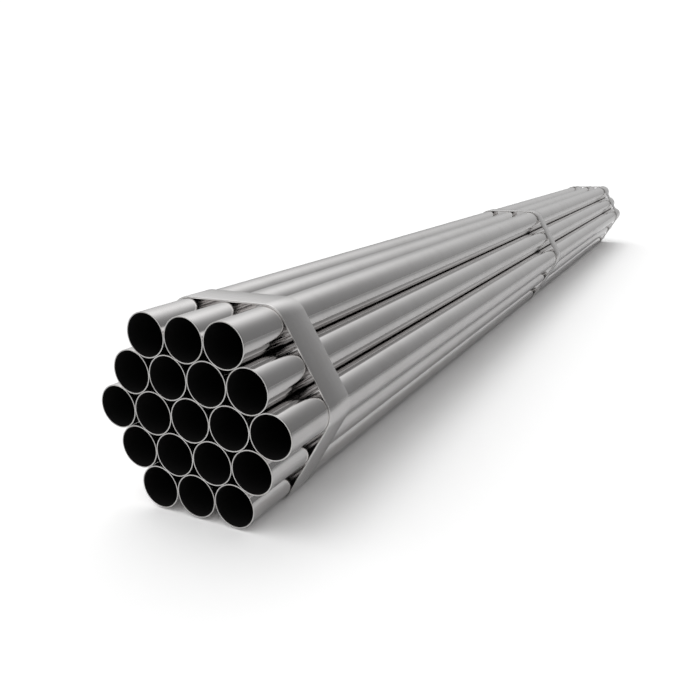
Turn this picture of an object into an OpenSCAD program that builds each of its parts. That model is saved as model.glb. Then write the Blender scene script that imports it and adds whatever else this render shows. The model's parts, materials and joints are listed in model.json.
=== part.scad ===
// Hexagonal bundle of round steel tubes, tied by flat steel straps.
// The tubes lie along Y, their rows run along X, and Z points up.
// The origin is under the middle of the bundle, on the floor that the straps rest on.

/* [Tubes] */
// Outside diameter of a tube
tube_od = 114.3; // [76.1:0.1:168.3]
// Wall thickness of a tube
tube_wall = 2.9; // [2.3:0.1:6.3]
// Length of a tube
tube_len = 5800; // [3000:100:6500]
// Chamfer on the inner and outer edge of a cut tube end
end_chamfer = 0.5; // [0.2:0.1:1]
// Play between neighbouring tubes
tube_gap = 0.2; // [0.1:0.05:0.5]

/* [Bundle] */
// Tubes along each side of the hexagon
side_tubes = 3; // [2:1:4]

/* [Straps] */
// Width of a strap, along the tubes
strap_w = 100; // [40:5:140]
// Thickness of a strap
strap_t = 5; // [3:0.5:8]
// Play between a strap and the tubes that it holds
strap_gap = 0.3; // [0.1:0.1:0.6]
// Distance from the cut tube ends to the outer straps
strap_setback = 165; // [80:5:400]

/* [Hidden] */
$fn = 96;
tube_r = tube_od / 2;
pitch = tube_od + tube_gap;
row_rise = pitch * sin(60);
row_count = 2 * side_tubes - 1;

// The hexagon's corners are the centres of its six corner tubes.
corner_dist = (side_tubes - 1) * pitch;
bend_r = tube_r + strap_gap;
// A multiple of 12, so that the flats between the bends stay tangent to them.
bend_sides = 72;
flat_dist = corner_dist * cos(30) + bend_r;
centre_z = strap_t + flat_dist;

STRAPS = ["strap_front", "strap_middle", "strap_rear"];
last_strap = len(STRAPS) - 1;
strap_reach = tube_len / 2 - strap_setback - strap_w / 2;

// Rows and places count from 1, from the bottom row up and from left to right.
function tubes_in(row) = side_tubes - 1 + min(row, row_count + 1 - row);
function tube_name(row, place) = str("tube_", row, "_", place);
function tube_x(row, place) = (place - (tubes_in(row) + 1) / 2) * pitch;
function tube_z(row) = centre_z + (row - side_tubes) * row_rise;
function strap_y(i) = strap_reach * (2 * i / last_strap - 1);

TUBES = [for (row = [1:row_count], place = [1:tubes_in(row)]) tube_name(row, place)];

// Half of the wall's section, from the middle of the tube to one cut end.
function wall_points(end) = [
    [tube_r - tube_wall, end * (tube_len / 2 - end_chamfer)],
    [tube_r - tube_wall + end_chamfer, end * tube_len / 2],
    [tube_r - end_chamfer, end * tube_len / 2],
    [tube_r, end * (tube_len / 2 - end_chamfer)]
];

module tube() {
    front = wall_points(-1);
    rear = wall_points(1);
    color("silver")
        rotate([-90, 0, 0])
            rotate_extrude()
                polygon(concat(front, [for (i = [3:-1:0]) rear[i]]));
}

// Outline of the hexagon, rounded round its corner tubes and r outside their centres.
module round_hexagon(r) {
    hull()
        for (turn = [0:60:300])
            rotate(turn)
                translate([corner_dist, 0])
                    circle(r, $fn = bend_sides);
}

module strap() {
    color("darkgray")
        rotate([90, 0, 0])
            linear_extrude(strap_w, center = true)
                difference() {
                    round_hexagon(bend_r + strap_t);
                    round_hexagon(bend_r);
                }
}

for (row = [1:row_count], place = [1:tubes_in(row)])
    translate([tube_x(row, place), 0, tube_z(row)])
            tube();

for (i = [0:last_strap])
    translate([0, strap_y(i), centre_z])
            strap();
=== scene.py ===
import json
import math

import bpy
from mathutils import Matrix, Vector


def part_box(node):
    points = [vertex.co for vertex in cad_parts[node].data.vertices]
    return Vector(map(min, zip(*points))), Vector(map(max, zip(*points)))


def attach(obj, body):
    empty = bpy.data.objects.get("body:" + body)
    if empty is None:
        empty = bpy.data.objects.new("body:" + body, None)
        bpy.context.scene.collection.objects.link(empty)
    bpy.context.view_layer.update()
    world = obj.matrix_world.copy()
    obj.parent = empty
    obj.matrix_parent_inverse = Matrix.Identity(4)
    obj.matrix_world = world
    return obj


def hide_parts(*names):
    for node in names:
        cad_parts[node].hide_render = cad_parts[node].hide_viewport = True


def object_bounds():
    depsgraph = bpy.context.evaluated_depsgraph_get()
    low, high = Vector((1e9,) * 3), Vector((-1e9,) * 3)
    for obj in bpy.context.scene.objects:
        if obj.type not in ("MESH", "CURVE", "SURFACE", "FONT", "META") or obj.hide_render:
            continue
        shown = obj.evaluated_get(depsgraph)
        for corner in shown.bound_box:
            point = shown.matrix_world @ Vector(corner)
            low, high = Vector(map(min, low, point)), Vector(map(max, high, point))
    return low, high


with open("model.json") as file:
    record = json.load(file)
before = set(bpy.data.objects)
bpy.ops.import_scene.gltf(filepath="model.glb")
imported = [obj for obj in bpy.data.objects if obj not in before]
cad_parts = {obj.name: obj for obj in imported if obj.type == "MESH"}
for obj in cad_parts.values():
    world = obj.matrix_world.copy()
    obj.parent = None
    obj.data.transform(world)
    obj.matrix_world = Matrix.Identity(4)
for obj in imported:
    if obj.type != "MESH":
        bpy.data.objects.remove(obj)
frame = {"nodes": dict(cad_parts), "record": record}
cadLow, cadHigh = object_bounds()
print("frame loaded")


# Helpers for objects and node trees

def selectNothing():
    if bpy.context.object and bpy.context.object.mode == "EDIT":
        bpy.ops.object.mode_set(mode="OBJECT")
    bpy.ops.object.select_all(action="DESELECT")


def addNode(tree, kind, inputs=None, **settings):
    node = tree.nodes.new(kind)
    for key, value in settings.items():
        setattr(node, key, value)
    for key, value in (inputs or {}).items():
        node.inputs[key].default_value = value
    return node


def joinNodes(tree, pairs):
    for start, end in pairs:
        tree.links.new(start, end)


def newGroup(name, inputs, outputs):
    group = bpy.data.node_groups.new(name, "ShaderNodeTree")
    for label, (kind, value) in inputs.items():
        socket = group.interface.new_socket(label, in_out="INPUT", socket_type="NodeSocket" + kind)
        socket.default_value = value
    for label in outputs:
        group.interface.new_socket(label, in_out="OUTPUT", socket_type="NodeSocketFloat")
    return group, group.nodes.new("NodeGroupInput"), group.nodes.new("NodeGroupOutput")


def newMaterial(name, **inputs):
    material = bpy.data.materials.new(name)
    material.use_nodes = True
    tree = material.node_tree
    shader = tree.nodes["Principled BSDF"]
    for key, value in inputs.items():
        shader.inputs[key].default_value = value
    return material, tree, shader


def addRange(tree, band, outcome=(0, 1), **settings):
    values = {"From Min": band[0], "From Max": band[1], "To Min": outcome[0], "To Max": outcome[1]}
    return addNode(tree, "ShaderNodeMapRange", values, **settings)


# Effects that several finishes share

# the part of each noise's range that its effect runs over
noiseBands = {
    "streak": (0.3, 0.7),
    "smudge": (0.45, 0.75),
    "patch": (0.55, 0.68),     # where scratches gather
}


def makeDrawnLines():
    # what drawing and rolling leave: close lines and broad streaks, both long one way
    group, start, end = newGroup(
        "drawnLines",
        {
            "Lines per metre": ("Vector", (500, 1, 500)),
            "Streaks per metre": ("Vector", (30, 0.3, 30)),
        },
        ["Lines", "Streaks"],
    )
    place = addNode(group, "ShaderNodeTexCoord")
    for label, detail in (("Lines", 3), ("Streaks", 5)):
        stretch = addNode(group, "ShaderNodeVectorMath", operation="MULTIPLY")
        noise = addNode(group, "ShaderNodeTexNoise", {"Scale": 1, "Detail": detail, "Roughness": 0.6})
        joinNodes(group, [
            (place.outputs["Object"], stretch.inputs[0]),
            (start.outputs[label + " per metre"], stretch.inputs[1]),
            (stretch.outputs[0], noise.inputs["Vector"]),
            (noise.outputs["Fac"], end.inputs[label]),
        ])
    return group


def makeHandlingMarks():
    # thin scratches where the middle value of a stretched noise is crossed, and soft smudges
    group, start, end = newGroup(
        "handlingMarks",
        {
            "Scratches per metre": ("Vector", (20, 2, 20)),
            "Scratch width": ("Float", 0.006),
            "Smudges per metre": ("Float", 5.0),
        },
        ["Scratches", "Smudges"],
    )
    place = addNode(group, "ShaderNodeTexCoord")
    stretch = addNode(group, "ShaderNodeVectorMath", operation="MULTIPLY")
    noise = addNode(group, "ShaderNodeTexNoise", {"Scale": 1, "Detail": 2, "Roughness": 0.5})
    middle = addNode(group, "ShaderNodeMath", {1: 0.5}, operation="SUBTRACT")
    apart = addNode(group, "ShaderNodeMath", operation="ABSOLUTE")
    near = addNode(group, "ShaderNodeMapRange", {"From Min": 0.0, "To Min": 1.0, "To Max": 0.0})
    patch = addNode(group, "ShaderNodeTexNoise", {"Detail": 1})
    some = addRange(group, noiseBands["patch"])
    both = addNode(group, "ShaderNodeMath", operation="MULTIPLY")
    smudge = addNode(group, "ShaderNodeTexNoise", {"Detail": 4, "Roughness": 0.65, "Distortion": 0.6})
    joinNodes(group, [
        (place.outputs["Object"], stretch.inputs[0]),
        (start.outputs["Scratches per metre"], stretch.inputs[1]),
        (stretch.outputs[0], noise.inputs["Vector"]),
        (noise.outputs["Fac"], middle.inputs[0]),
        (middle.outputs[0], apart.inputs[0]),
        (apart.outputs[0], near.inputs["Value"]),
        (start.outputs["Scratch width"], near.inputs["From Max"]),
        (place.outputs["Object"], patch.inputs["Vector"]),
        (start.outputs["Smudges per metre"], patch.inputs["Scale"]),
        (patch.outputs["Fac"], some.inputs["Value"]),
        (near.outputs["Result"], both.inputs[0]),
        (some.outputs["Result"], both.inputs[1]),
        (both.outputs[0], end.inputs["Scratches"]),
        (place.outputs["Object"], smudge.inputs["Vector"]),
        (start.outputs["Smudges per metre"], smudge.inputs["Scale"]),
        (smudge.outputs["Fac"], end.inputs["Smudges"]),
    ])
    return group


drawnLines = makeDrawnLines()
handlingMarks = makeHandlingMarks()


# Finishes

def makeWorkedSteel(name, finish):
    # bare metal with drawn lines, smudges and scratches, all from the finish's own values
    material, tree, shader = newMaterial(name, Metallic=finish["metallic"])
    lines = addNode(tree, "ShaderNodeGroup", node_tree=drawnLines)
    marks = addNode(tree, "ShaderNodeGroup", node_tree=handlingMarks)
    lines.inputs["Lines per metre"].default_value = finish["lines"]
    lines.inputs["Streaks per metre"].default_value = finish["streaks"]
    marks.inputs["Scratches per metre"].default_value = finish["scratches"]
    marks.inputs["Scratch width"].default_value = finish["scratchWidth"]
    marks.inputs["Smudges per metre"].default_value = finish["smudges"]

    streakTint = addNode(tree, "ShaderNodeMix", data_type="RGBA")
    streakTint.inputs["A"].default_value = finish["dull"]
    streakTint.inputs["B"].default_value = finish["bright"]
    smudgeTint = addNode(tree, "ShaderNodeMix", data_type="RGBA", blend_type="MULTIPLY")
    smudgeTint.inputs["B"].default_value = finish["smudgeColour"]
    smudgeMask = addRange(tree, noiseBands["smudge"])

    roughByStreak = addRange(tree, noiseBands["streak"], finish["roughness"])
    addSmudge = addNode(
        tree, "ShaderNodeMath", {1: finish["smudgeRoughness"]}, operation="MULTIPLY_ADD")

    lineBump = addNode(tree, "ShaderNodeBump", {"Strength": 1.0, "Distance": finish["lineDepth"]})
    scratchBump = addNode(
        tree, "ShaderNodeBump", {"Strength": 1.0, "Distance": finish["scratchDepth"]}, invert=True)
    joinNodes(tree, [
        (lines.outputs["Streaks"], streakTint.inputs["Factor"]),
        (marks.outputs["Smudges"], smudgeMask.inputs["Value"]),
        (smudgeMask.outputs["Result"], smudgeTint.inputs["Factor"]),
        (streakTint.outputs["Result"], smudgeTint.inputs["A"]),
        (smudgeTint.outputs["Result"], shader.inputs["Base Color"]),
        (lines.outputs["Streaks"], roughByStreak.inputs["Value"]),
        (smudgeMask.outputs["Result"], addSmudge.inputs[0]),
        (roughByStreak.outputs["Result"], addSmudge.inputs[2]),
        (addSmudge.outputs[0], shader.inputs["Roughness"]),
        (lines.outputs["Lines"], lineBump.inputs["Height"]),
        (marks.outputs["Scratches"], scratchBump.inputs["Height"]),
        (lineBump.outputs["Normal"], scratchBump.inputs["Normal"]),
        (scratchBump.outputs["Normal"], shader.inputs["Normal"]),
    ])
    return material


tubeFinish = {
    "bright": (0.90, 0.885, 0.88, 1),
    "dull": (0.86, 0.845, 0.84, 1),
    "metallic": 1.0,
    "roughness": (0.07, 0.11),
    "lines": (500, 1.2, 500),          # close lines along the tube
    "streaks": (36, 0.35, 36),
    "lineDepth": 0.000003,
    "scratches": (16, 1.5, 16),
    "scratchWidth": 0.004,
    "scratchDepth": 0.00003,
    "smudges": 6.0,
    "smudgeColour": (0.93, 0.925, 0.92, 1),
    "smudgeRoughness": 0.05,
}

strapFinish = {
    "bright": (0.95, 0.935, 0.93, 1),
    "dull": (0.90, 0.885, 0.88, 1),
    "metallic": 1.0,
    "roughness": (0.16, 0.23),
    "lines": (6, 700, 6),              # close lines round the bundle
    "streaks": (3, 60, 3),
    "lineDepth": 0.000002,
    "scratches": (4, 30, 4),
    "scratchWidth": 0.005,
    "scratchDepth": 0.00002,
    "smudges": 9.0,
    "smudgeColour": (0.94, 0.93, 0.92, 1),
    "smudgeRoughness": 0.06,
}

cutFinish = {
    "bright": (0.92, 0.91, 0.90, 1),
    "dull": (0.82, 0.81, 0.80, 1),
    "metallic": 1.0,
    "roughness": (0.30, 0.42),
    "lines": (60, 60, 1500),           # level lines left by the saw
    "streaks": (15, 15, 200),
    "lineDepth": 0.00002,
    "scratches": (60, 60, 60),
    "scratchWidth": 0.004,
    "scratchDepth": 0.00002,
    "smudges": 20.0,
    "smudgeColour": (0.85, 0.83, 0.8, 1),
    "smudgeRoughness": 0.08,
}

edgeFinish = {
    "bright": (0.98, 0.97, 0.96, 1),
    "dull": (0.94, 0.93, 0.92, 1),
    "metallic": 1.0,
    "roughness": (0.14, 0.22),
    "lines": (60, 60, 60),
    "streaks": (15, 15, 15),
    "lineDepth": 0.000005,
    "scratches": (60, 60, 60),
    "scratchWidth": 0.004,
    "scratchDepth": 0.00001,
    "smudges": 20.0,
    "smudgeColour": (0.95, 0.94, 0.93, 1),
    "smudgeRoughness": 0.05,
}

boreFinish = {
    # near-black: dark scale with painted shade deep in the bore
    "scale": (0.006, 0.006, 0.006, 1),
    "oil": (0.020, 0.019, 0.019, 1),
    "roughness": (0.40, 0.60),
    "specular": 0.3,
    "lines": (200, 3, 200),
    "streaks": (25, 2, 25),
    "lineDepth": 0.00002,
}


def makeBoreScaleAndShade(finish):
    # the dark scale and old oil inside a tube, made near-black so that the colour also stands for
    # painted shade deep in the bore
    material, tree, shader = newMaterial("boreScaleAndShade", Metallic=0.0)
    shader.inputs["Specular IOR Level"].default_value = finish["specular"]
    lines = addNode(tree, "ShaderNodeGroup", node_tree=drawnLines)
    lines.inputs["Lines per metre"].default_value = finish["lines"]
    lines.inputs["Streaks per metre"].default_value = finish["streaks"]
    tint = addNode(tree, "ShaderNodeMix", data_type="RGBA")
    tint.inputs["A"].default_value = finish["scale"]
    tint.inputs["B"].default_value = finish["oil"]
    smooth, rough = finish["roughness"]
    shine = addRange(tree, noiseBands["streak"], (rough, smooth))
    bump = addNode(tree, "ShaderNodeBump", {"Strength": 1.0, "Distance": finish["lineDepth"]})
    joinNodes(tree, [
        (lines.outputs["Streaks"], tint.inputs["Factor"]),
        (tint.outputs["Result"], shader.inputs["Base Color"]),
        (lines.outputs["Streaks"], shine.inputs["Value"]),
        (shine.outputs["Result"], shader.inputs["Roughness"]),
        (lines.outputs["Lines"], bump.inputs["Height"]),
        (bump.outputs["Normal"], shader.inputs["Normal"]),
    ])
    return material


tubeSteel = makeWorkedSteel("tubeSteel", tubeFinish)
strapSteel = makeWorkedSteel("strapSteel", strapFinish)
cutSteel = makeWorkedSteel("cutSteel", cutFinish)
edgeSteel = makeWorkedSteel("edgeSteel", edgeFinish)
boreScaleAndShade = makeBoreScaleAndShade(boreFinish)
print("finishes made")


# Pieces: one tube and one strap are modelled, and the rest are copies in their places

tubeNames = sorted(name for name in frame["nodes"] if name.startswith("tube_"))
strapNames = sorted(name for name in frame["nodes"] if name.startswith("strap_"))


def nodeCentre(name):
    low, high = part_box(name)
    return (low + high) / 2


def startPiece():
    # a flat plate, one metre square, that becomes a section outline
    selectNothing()
    bpy.ops.mesh.primitive_plane_add(size=1)
    piece = bpy.context.object
    bpy.ops.object.mode_set(mode="EDIT")
    return piece


def roundOutline(radius, steps):
    # rounds the plate's corners and leaves only its outline
    bpy.ops.mesh.bevel(offset=radius, offset_type="OFFSET", segments=steps, affect="VERTICES")
    bpy.ops.mesh.delete(type="ONLY_FACE")
    bpy.ops.mesh.select_all(action="SELECT")


mergeWithin = 0.00002      # metres


def closeSkin():
    bpy.ops.mesh.select_all(action="SELECT")
    bpy.ops.mesh.remove_doubles(threshold=mergeWithin)
    bpy.ops.mesh.normals_make_consistent(inside=False)
    bpy.ops.object.mode_set(mode="OBJECT")
    bpy.ops.object.shade_smooth()


def copyInPlace(pattern, cadName, pieceName, move):
    piece = pattern.copy()
    piece.data = pattern.data.copy()
    piece.data.transform(Matrix.Translation(move))
    piece.name = piece.data.name = pieceName
    bpy.context.scene.collection.objects.link(piece)
    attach(piece, "root")
    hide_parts(cadName)


tubeShape = {
    "sides": 144,
    "rimRound": 0.0006,        # rounding of the cut edges
    "rimSteps": 3,
    "shadeRing": 0.005,        # how far from each end a ring keeps the shading straight
    "endFacing": 0.5,          # faces turned this much to the ends are cut steel
    "boreRadius": frame["record"]["mounts"][0]["dims"]["r_mm"] / 1000,
}
tubeLow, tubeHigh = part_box("tube_3_3")
tubeRadius = (tubeHigh.x - tubeLow.x) / 2
tubeLength = tubeHigh.y - tubeLow.y


def modelTube(shape):
    # the wall's section spun once round the Y axis, which is the tube's axis until it is copied
    wall = tubeRadius - shape["boreRadius"]
    middle = Vector((shape["boreRadius"] + wall / 2, 0, 0))
    tube = startPiece()
    bpy.ops.transform.resize(value=(wall, tubeLength, 1), center_override=(0, 0, 0))
    bpy.ops.transform.translate(value=middle)
    roundOutline(shape["rimRound"], shape["rimSteps"])
    bpy.ops.mesh.spin(steps=shape["sides"], angle=math.tau, center=(0, 0, 0), axis=(0, 1, 0))
    for end in (-1, 1):
        ring = end * (tubeLength / 2 - shape["shadeRing"])
        bpy.ops.mesh.select_all(action="SELECT")
        bpy.ops.mesh.bisect(plane_co=(0, ring, 0), plane_no=(0, 1, 0))
    closeSkin()

    for material in (tubeSteel, cutSteel, boreScaleAndShade):
        tube.data.materials.append(material)
    for face in tube.data.polygons:
        outward = face.normal.x * face.center.x + face.normal.z * face.center.z
        if abs(face.normal.y) > shape["endFacing"]:
            face.material_index = 1
        elif outward < 0:
            # the inner faces take the near-black bore colour: dark scale with painted shade
            face.material_index = 2
    return tube


tube = modelTube(tubeShape)
for name in tubeNames:
    copyInPlace(tube, name, name.replace("tube", "steelTube"), nodeCentre(name))
bpy.data.objects.remove(tube)
print("tubes modelled:", len(tubeNames))


strapShape = {
    "underPlay": 0.0003,       # between the strap and the tubes
    "edgeRound": 0.0012,
    "edgeSteps": 4,
    "bendAngle": -60,          # degrees at each corner tube; spin counts the other way
    "bendSteps": 24,
    "shadeRing": 0.004,
    "edgeFacing": 0.2,         # faces turned this much to the ends are edge steel
}


def cornerTubes():
    # clockwise from the top right, as the front shows them
    bottom, middle, top = [
        [name for name in tubeNames if name.startswith(f"tube_{row}_")] for row in (1, 3, 5)]
    return [top[-1], middle[-1], bottom[-1], bottom[0], middle[0], top[0]]


def modelStrap(shape):
    # the band's section, carried round each corner tube and straight on to the next
    low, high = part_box(strapNames[0])
    corners = [nodeCentre(name) for name in cornerTubes()]
    innerRadius = tubeRadius + shape["underPlay"]
    thickness = high.z - corners[0].z - innerRadius
    bend = math.radians(shape["bendAngle"])
    strap = startPiece()
    bpy.ops.transform.resize(value=(thickness, high.y - low.y, 1), center_override=(0, 0, 0))
    roundOutline(shape["edgeRound"], shape["edgeSteps"])
    bpy.ops.transform.rotate(value=math.radians(90), orient_axis="Y", center_override=(0, 0, 0))
    bpy.ops.transform.translate(value=corners[0] + Vector((0, 0, innerRadius + thickness / 2)))
    for here, there in zip(corners, corners[1:] + corners[:1]):
        bpy.ops.mesh.spin(steps=shape["bendSteps"], angle=bend, center=here, axis=(0, 1, 0))
        run = there - here
        short = run.normalized() * shape["shadeRing"]
        for step in (short, run - short * 2, short):
            bpy.ops.mesh.extrude_region_move(TRANSFORM_OT_translate={"value": step})
    closeSkin()

    for material in (strapSteel, edgeSteel):
        strap.data.materials.append(material)
    for face in strap.data.polygons:
        if abs(face.normal.y) > shape["edgeFacing"]:
            face.material_index = 1
    return strap


strap = modelStrap(strapShape)
for name in strapNames:
    place = Vector((0, nodeCentre(name).y, 0))
    copyInPlace(strap, name, name.replace("strap", "steelStrap"), place)
bpy.data.objects.remove(strap)
print("straps modelled:", len(strapNames))


# Studio: a pale floor under a soft sky, with a broad glow for each soft light

floorPaint = {
    "size": 120,
    "seen": (1.65, 1.65, 1.65, 1),       # over 1, so that low light still gives a white floor
    "paintedLightNear": (0.95, 0.95, 0.95, 1),     # painted light: what the steel mirrors of it close under the bundle, made lighter to lift the shadow there
    "open": (0.80, 0.80, 0.80, 1),       # and past it
    "paintedLightTo": 0.25,                    # metres from the bundle's middle
    "openFrom": 0.55,
    "polishFrom": 0.4,                   # further out the steel sees the sky in the floor's polish
    "polishTo": 2.4,
    "polishRoughness": 0.3,
}

# what the camera sees past the floor
plainSky = 1.1

# azimuth is clockwise from +Y as seen from above; a bigger tightness is a smaller light,
# and 0 is light from all round
softLights = {
    "fill": {"azimuth": 0, "elevation": 90, "tightness": 0, "strength": 0.15},
    "overhead": {"azimuth": 280, "elevation": 85, "tightness": 9, "strength": 0.75},
    "highFront": {"azimuth": 180, "elevation": 60, "tightness": 7, "strength": 0.65},
    "highLeft": {"azimuth": 270, "elevation": 58, "tightness": 7, "strength": 0.6},
    "frontLeft": {"azimuth": 225, "elevation": 30, "tightness": 9, "strength": 0.3},
    "left": {"azimuth": 300, "elevation": 15, "tightness": 8, "strength": 0.5},
    "backLeft": {"azimuth": 340, "elevation": 38, "tightness": 14, "strength": 0.5},
    "back": {"azimuth": 0, "elevation": 8, "tightness": 14, "strength": 0.3},
}


def makeSoftGlow():
    # a round glow on the sky: strength times e to the power of tightness times (cosine minus one)
    group, start, end = newGroup(
        "softGlow",
        {
            "Direction": ("Vector", (0, 0, 1)),
            "Tightness": ("Float", 8.0),
            "Strength": ("Float", 1.0),
        },
        ["Glow"],
    )
    sky = addNode(group, "ShaderNodeTexCoord")
    cosine = addNode(group, "ShaderNodeVectorMath", operation="DOT_PRODUCT")
    fall = addNode(group, "ShaderNodeMath", {1: 1.0}, operation="SUBTRACT")
    scaled = addNode(group, "ShaderNodeMath", operation="MULTIPLY")
    curve = addNode(group, "ShaderNodeMath", operation="EXPONENT")
    glow = addNode(group, "ShaderNodeMath", operation="MULTIPLY")
    joinNodes(group, [
        (sky.outputs["Generated"], cosine.inputs[0]),
        (start.outputs["Direction"], cosine.inputs[1]),
        (cosine.outputs["Value"], fall.inputs[0]),
        (fall.outputs[0], scaled.inputs[0]),
        (start.outputs["Tightness"], scaled.inputs[1]),
        (scaled.outputs[0], curve.inputs[0]),
        (curve.outputs[0], glow.inputs[0]),
        (start.outputs["Strength"], glow.inputs[1]),
        (glow.outputs[0], end.inputs["Glow"]),
    ])
    return group


def makeSky():
    world = bpy.data.worlds.new("studioSky")
    bpy.context.scene.world = world
    world.use_nodes = True
    tree = world.node_tree
    tree.nodes.clear()
    softGlow = makeSoftGlow()
    total = None
    for light in softLights.values():
        turn, rise = math.radians(light["azimuth"]), math.radians(light["elevation"])
        glow = addNode(tree, "ShaderNodeGroup", node_tree=softGlow)
        glow.inputs["Direction"].default_value = (
            math.sin(turn) * math.cos(rise), math.cos(turn) * math.cos(rise), math.sin(rise))
        glow.inputs["Tightness"].default_value = light["tightness"]
        glow.inputs["Strength"].default_value = light["strength"]
        if total is None:
            total = glow.outputs[0]
            continue
        add = addNode(tree, "ShaderNodeMath", operation="ADD")
        joinNodes(tree, [(total, add.inputs[0]), (glow.outputs[0], add.inputs[1])])
        total = add.outputs[0]
    lit = addNode(tree, "ShaderNodeBackground", {"Color": (1, 1, 1, 1)})
    plain = addNode(tree, "ShaderNodeBackground", {"Color": (1, 1, 1, 1), "Strength": plainSky})
    ray = addNode(tree, "ShaderNodeLightPath")
    choose = addNode(tree, "ShaderNodeMixShader")
    out = addNode(tree, "ShaderNodeOutputWorld")
    joinNodes(tree, [
        (total, lit.inputs["Strength"]),
        (ray.outputs["Is Camera Ray"], choose.inputs["Fac"]),
        (lit.outputs[0], choose.inputs[1]),
        (plain.outputs[0], choose.inputs[2]),
        (choose.outputs[0], out.inputs["Surface"]),
    ])


def makeFloor():
    # plain white to the eye, and a little greyer and polished where the steel mirrors it, with
    # painted light lifting the shadow close under the bundle
    selectNothing()
    bpy.ops.mesh.primitive_plane_add(size=floorPaint["size"], location=(0, 0, cadLow.z))
    floor = bpy.context.object
    floor.name = "studioFloor"
    material = bpy.data.materials.new("floorPaint")
    material.use_nodes = True
    tree = material.node_tree
    tree.nodes.clear()
    place = addNode(tree, "ShaderNodeTexCoord")
    split = addNode(tree, "ShaderNodeSeparateXYZ")
    away = addNode(tree, "ShaderNodeMath", operation="ABSOLUTE")
    paintedLightBand = (floorPaint["paintedLightTo"], floorPaint["openFrom"])
    polishBand = (floorPaint["polishFrom"], floorPaint["polishTo"])
    # painted light: the mirrored floor is lighter close under the bundle, where its shadow falls, and
    # fades to the open tone past it
    paintedLightFade = addRange(tree, paintedLightBand, interpolation_type="SMOOTHSTEP")
    polish = addRange(tree, polishBand)
    tint = addNode(tree, "ShaderNodeMix", data_type="RGBA")
    tint.inputs["A"].default_value = floorPaint["paintedLightNear"]
    tint.inputs["B"].default_value = floorPaint["open"]
    paint = addNode(tree, "ShaderNodeBsdfDiffuse")
    shine = addNode(tree, "ShaderNodeBsdfGlossy", {"Roughness": floorPaint["polishRoughness"]})
    shine.inputs["Color"].default_value = (1, 1, 1, 1)
    mirrored = addNode(tree, "ShaderNodeMixShader")
    seen = addNode(tree, "ShaderNodeBsdfDiffuse", {"Color": floorPaint["seen"]})
    ray = addNode(tree, "ShaderNodeLightPath")
    choose = addNode(tree, "ShaderNodeMixShader")
    out = addNode(tree, "ShaderNodeOutputMaterial")
    joinNodes(tree, [
        (place.outputs["Object"], split.inputs[0]),
        (split.outputs["X"], away.inputs[0]),
        (away.outputs[0], paintedLightFade.inputs["Value"]),
        (away.outputs[0], polish.inputs["Value"]),
        (paintedLightFade.outputs["Result"], tint.inputs["Factor"]),
        (tint.outputs["Result"], paint.inputs["Color"]),
        (polish.outputs["Result"], mirrored.inputs["Fac"]),
        (paint.outputs[0], mirrored.inputs[1]),
        (shine.outputs[0], mirrored.inputs[2]),
        (ray.outputs["Is Camera Ray"], choose.inputs["Fac"]),
        (mirrored.outputs[0], choose.inputs[1]),
        (seen.outputs[0], choose.inputs[2]),
        (choose.outputs[0], out.inputs["Surface"]),
    ])
    floor.data.materials.append(material)


makeFloor()
makeSky()
print("studio set")


camera = {
    "place": (1.04, -4.066, 0.87),
    "azimuth": 27.55,
    "elevation": 16.2,
    "roll": -0.9,
    "lens": 35.25,
    "sensor": 36,
    "reach": 200,
}


def addCamera():
    bpy.ops.object.camera_add()
    eye = bpy.context.object
    eye.data.lens = camera["lens"]
    eye.data.sensor_width = camera["sensor"]
    eye.data.clip_end = camera["reach"]
    eye.matrix_world = (
        Matrix.Translation(camera["place"])
        @ Matrix.Rotation(math.radians(camera["azimuth"]), 4, "Z")
        @ Matrix.Rotation(math.radians(90 - camera["elevation"]), 4, "X")
        @ Matrix.Rotation(math.radians(camera["roll"]), 4, "Z")
    )
    bpy.context.scene.camera = eye


addCamera()
bpy.context.scene.view_settings.view_transform = "Standard"
print("camera set")
